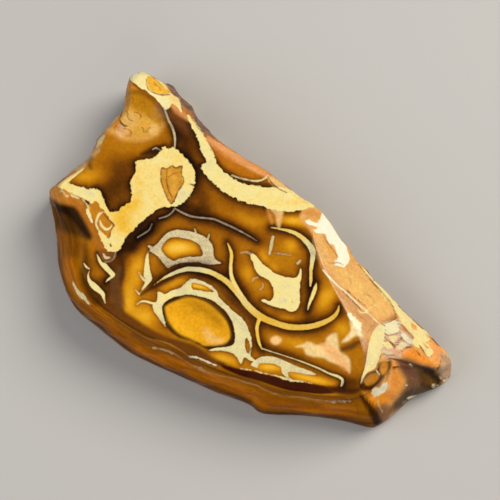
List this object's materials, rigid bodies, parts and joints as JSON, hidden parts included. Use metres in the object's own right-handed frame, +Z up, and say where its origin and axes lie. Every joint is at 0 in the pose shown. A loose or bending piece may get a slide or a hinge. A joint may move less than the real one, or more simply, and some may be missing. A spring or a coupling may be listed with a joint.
{
  "type": "rough boulder opal slab",
  "caption": "Small rough opal slab with a polished patterned face, a rounded banded side, broken ends and a flat sawn underside to lie on.",
  "frame": {"origin": "middle of the box around the footprint, on the flat sawn underside", "axes": "+X along the longer side of the stone, towards its broken end; +Y across it, towards its pointed tip; +Z up, out of the polished face"},
  "size_m": [0.0416, 0.0366, 0.008],
  "materials": {
    "polished_opal_stone": "glossy polished face with cream and amber pattern, satin sides"
  },
  "bodies": {
    "root": {"opal_slab": "polished_opal_stone"}
  },
  "joints": []
}
